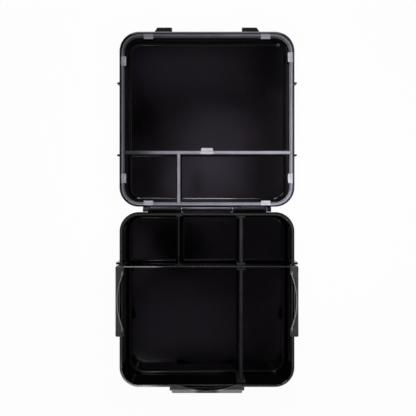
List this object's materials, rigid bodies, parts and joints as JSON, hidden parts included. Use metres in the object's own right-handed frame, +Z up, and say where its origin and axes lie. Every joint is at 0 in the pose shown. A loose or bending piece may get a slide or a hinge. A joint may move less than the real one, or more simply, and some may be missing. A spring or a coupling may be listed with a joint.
{
  "type": "bento lunch box",
  "caption": "Square lunch box with a hinged lid, swing latches, a lid gasket with pull tabs, fixed partitions and loose dividers, shown laid open.",
  "frame": {"origin": "centre of the base's underside, on the surface it stands on", "axes": "+Z up, +Y towards the hinge and the open lid, +X to the right"},
  "size_m": [0.2256, 0.4473, 0.0603],
  "materials": {
    "black_gloss": "gloss",
    "latch_black": "satin",
    "divider_grey": "satin",
    "gasket_grey": "matte",
    "steel": "satin"
  },
  "bodies": {
    "base": {"base_body": "black_gloss", "hinge_pin": "steel", "latch_pin_front": "steel", "latch_pin_left": "steel", "latch_pin_right": "steel"},
    "lid": {"lid_shell": "black_gloss", "lid_seal": "gasket_grey"},
    "front_latch": {"latch_front": "latch_black"},
    "left_latch": {"latch_left": "latch_black"},
    "right_latch": {"latch_right": "latch_black"},
    "long_divider": {"divider_long": "divider_grey"},
    "short_divider": {"divider_short": "divider_grey"}
  },
  "joints": [
    {"name": "lid_hinge", "type": "hinge", "parent": "base", "child": "lid", "pos_m": [0, 0.1108, 0.046], "axis": [1, 0, 0], "range_deg": [0, 180]},
    {"name": "front_latch_hinge", "type": "hinge", "parent": "base", "child": "front_latch", "pos_m": [0, -0.1102, 0.018], "axis": [1, 0, 0], "range_deg": [0, 105]},
    {"name": "left_latch_hinge", "type": "hinge", "parent": "base", "child": "left_latch", "pos_m": [-0.1102, 0, 0.018], "axis": [0, -1, 0], "range_deg": [0, 105]},
    {"name": "right_latch_hinge", "type": "hinge", "parent": "base", "child": "right_latch", "pos_m": [0.1102, 0, 0.018], "axis": [0, 1, 0], "range_deg": [0, 105]},
    {"name": "long_divider_lift", "type": "slide", "parent": "base", "child": "long_divider", "axis": [0, 0, -1], "range_m": [-0.011, 0]},
    {"name": "short_divider_lift", "type": "slide", "parent": "base", "child": "short_divider", "axis": [0, 0, -1], "range_m": [-0.06, 0]}
  ]
}
